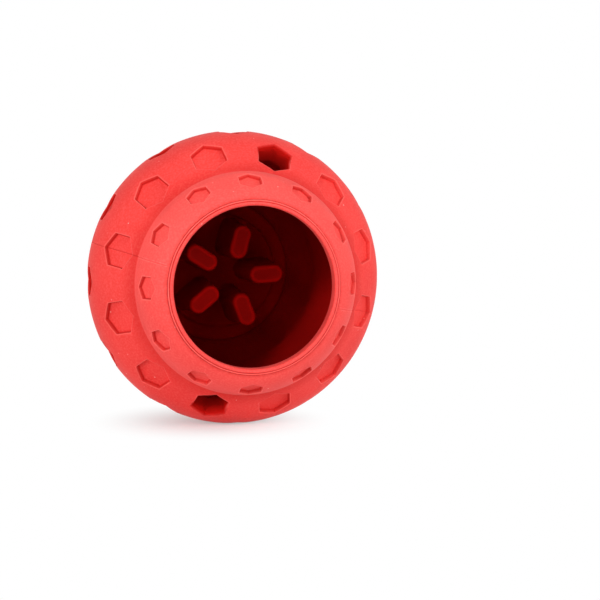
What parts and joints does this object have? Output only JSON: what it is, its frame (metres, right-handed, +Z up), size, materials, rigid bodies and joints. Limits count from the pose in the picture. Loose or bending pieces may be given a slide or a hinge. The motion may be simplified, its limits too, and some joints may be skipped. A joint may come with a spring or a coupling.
{
  "type": "treat dispensing ball",
  "caption": "Hollow rubber treat ball with a wide round mouth, hexagon recesses, two hexagon holes in its wall and bendable inner fingers that hold treats back.",
  "frame": {"origin": "centre of the ball, on its axis, halfway between the mouth's lip and the back face", "axes": "-Y out of the mouth along the ball's axis, +Z up as the ball lies in the picture, +X to the right seen from the mouth"},
  "size_m": [0.1094, 0.0796, 0.1094],
  "materials": {
    "shell_rubber": "matte moulded natural rubber with fine dust",
    "inner_rubber": "matte moulded natural rubber"
  },
  "bodies": {
    "ball": {"upper_shell": "shell_rubber", "lower_shell": "shell_rubber", "mouth_ring": "shell_rubber", "finger_base": "inner_rubber"},
    "finger_1": {"finger_1": "inner_rubber"},
    "finger_2": {"finger_2": "inner_rubber"},
    "finger_3": {"finger_3": "inner_rubber"},
    "finger_4": {"finger_4": "inner_rubber"},
    "finger_5": {"finger_5": "inner_rubber"}
  },
  "joints": [
    {"name": "finger_1_bend", "type": "hinge", "parent": "ball", "child": "finger_1", "pos_m": [0.00349, 0.0233, 0.01304], "axis": [-0.9659, 0, 0.2588], "range_deg": [-8, 15], "stiffness_Nm_per_rad": 0.15},
    {"name": "finger_2_bend", "type": "hinge", "parent": "ball", "child": "finger_2", "pos_m": [-0.01132, 0.0233, 0.00735], "axis": [-0.5446, 0, -0.8387], "range_deg": [-8, 15], "stiffness_Nm_per_rad": 0.15},
    {"name": "finger_3_bend", "type": "hinge", "parent": "ball", "child": "finger_3", "pos_m": [-0.01049, 0.0233, -0.0085], "axis": [0.6293, 0, -0.7771], "range_deg": [-8, 15], "stiffness_Nm_per_rad": 0.15},
    {"name": "finger_4_bend", "type": "hinge", "parent": "ball", "child": "finger_4", "pos_m": [0.00484, 0.0233, -0.0126], "axis": [0.9336, 0, 0.3584], "range_deg": [-8, 15], "stiffness_Nm_per_rad": 0.15},
    {"name": "finger_5_bend", "type": "hinge", "parent": "ball", "child": "finger_5", "pos_m": [0.01348, 0.0233, 0.00071], "axis": [-0.0523, 0, 0.9986], "range_deg": [-8, 15], "stiffness_Nm_per_rad": 0.15}
  ]
}
